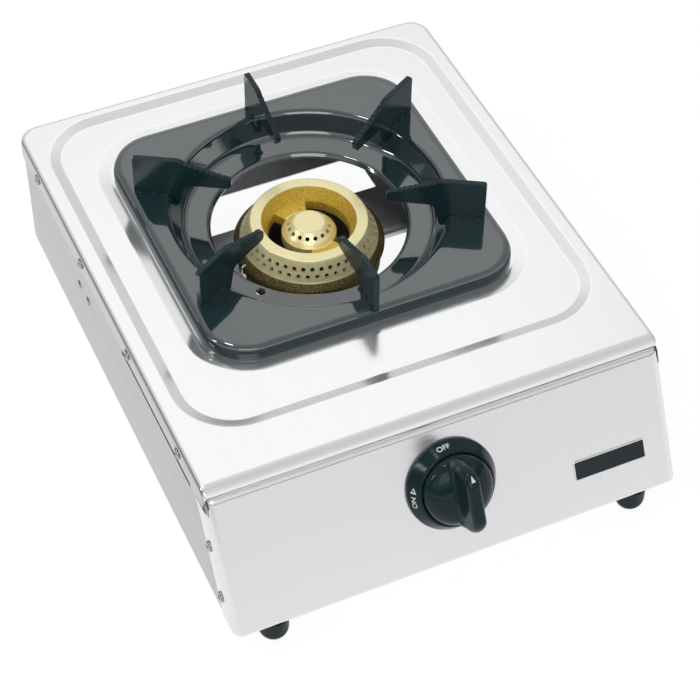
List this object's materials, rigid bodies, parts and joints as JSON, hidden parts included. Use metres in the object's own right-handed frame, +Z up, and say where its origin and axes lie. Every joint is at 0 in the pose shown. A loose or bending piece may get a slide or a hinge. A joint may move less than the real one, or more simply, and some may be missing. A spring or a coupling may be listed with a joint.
{
  "type": "single burner gas stove",
  "caption": "Table-top gas stove with one brass burner in an enamelled drip tray with pan support arms, a sloping front and one push-and-turn knob.",
  "frame": {"origin": "on the table, under the middle of the whole object", "axes": "+X to the right seen from the knob, +Y to the back, +Z up; the knob points to -Y"},
  "size_m": [0.2828, 0.3974, 0.1295],
  "materials": {
    "stainless": "bright stainless sheet",
    "zinc_sheet": "zinc plated sheet",
    "screw_steel": "plated steel",
    "enamel": "gloss black enamel",
    "brass": "cast and turned brass",
    "cast_iron": "black cast iron",
    "cast_aluminium": "die cast",
    "spring_steel": "drawn wire",
    "knob_plastic": "fine matt black",
    "white_plastic": "white",
    "badge_black": "black with a bright border",
    "foot_rubber": "matt",
    "pipe_aluminium": "drawn tube",
    "igniter_plastic": "moulded",
    "lead_rubber": "insulated wire",
    "ceramic": "unglazed"
  },
  "bodies": {
    "casing": {"badge_plate": "badge_black", "bottom_pan": "zinc_sheet", "burner_base": "cast_iron", "burner_crossbar": "zinc_sheet", "burner_screws": "screw_steel", "casing_wrap": "stainless", "cover_screws": "screw_steel", "crossbar_rivets": "screw_steel", "electrode_bracket": "zinc_sheet", "electrode_insulator": "ceramic", "electrode_screw": "screw_steel", "electrode_wire": "spring_steel", "foot_back_left": "foot_rubber", "foot_back_right": "foot_rubber", "foot_front_left": "foot_rubber", "foot_front_right": "foot_rubber", "foot_screws": "screw_steel", "front_panel": "stainless", "front_panel_screws": "screw_steel", "gas_jet": "brass", "gas_pipe": "pipe_aluminium", "igniter": "igniter_plastic", "igniter_bracket": "zinc_sheet", "igniter_lead": "lead_rubber", "inlet_lock_nut": "brass", "inlet_nipple": "brass", "knob_bezel": "knob_plastic", "pipe_nuts": "brass", "top_cover": "stainless", "valve_body": "cast_aluminium", "valve_mount_screws": "screw_steel", "valve_screws": "screw_steel", "valve_spring": "spring_steel", "valve_yoke": "zinc_sheet"},
    "pan_support": {"drip_tray": "enamel", "pan_support_arm_1": "enamel", "pan_support_arm_2": "enamel", "pan_support_arm_3": "enamel", "pan_support_arm_4": "enamel", "pan_support_arm_5": "enamel", "pan_support_arm_6": "enamel"},
    "burner_cap": {"burner_cap": "brass"},
    "air_shutter": {"air_shutter": "zinc_sheet"},
    "thrust_washer": {"thrust_washer": "screw_steel"},
    "knob": {"knob": "knob_plastic", "knob_pointer": "white_plastic", "valve_stem": "screw_steel"},
    "valve_plug": {"valve_plug": "brass"}
  },
  "joints": [
    {"name": "pan_support_lift", "type": "slide", "parent": "casing", "child": "pan_support", "axis": [0, 0, 1], "range_m": [0, 0.06]},
    {"name": "burner_cap_lift", "type": "slide", "parent": "casing", "child": "burner_cap", "axis": [0, 0, 1], "range_m": [0, 0.025]},
    {"name": "air_shutter_turn", "type": "hinge", "parent": "casing", "child": "air_shutter", "pos_m": [0, -0.07683, 0.04433], "axis": [0, 1, 0], "range_deg": [0, 60]},
    {"name": "knob_push", "type": "slide", "parent": "casing", "child": "thrust_washer", "axis": [0, 0.8894, -0.4571], "range_m": [0, 0.0035], "stiffness_N_per_m": 2000, "springref_m": -0.003, "deforming": ["valve_spring"]},
    {"name": "knob_turn", "type": "hinge", "parent": "thrust_washer", "child": "knob", "pos_m": [0, -0.16037, 0.05987], "axis": [0, -0.8894, 0.4571], "range_deg": [0, 180]},
    {"name": "valve_plug_turn", "type": "hinge", "parent": "casing", "child": "valve_plug", "pos_m": [0, -0.16037, 0.05987], "axis": [0, -0.8894, 0.4571], "range_deg": [0, 180]}
  ],
  "couplings": [
    {"joint": "valve_plug_turn", "follows": "knob_turn", "ratio": 1}
  ]
}
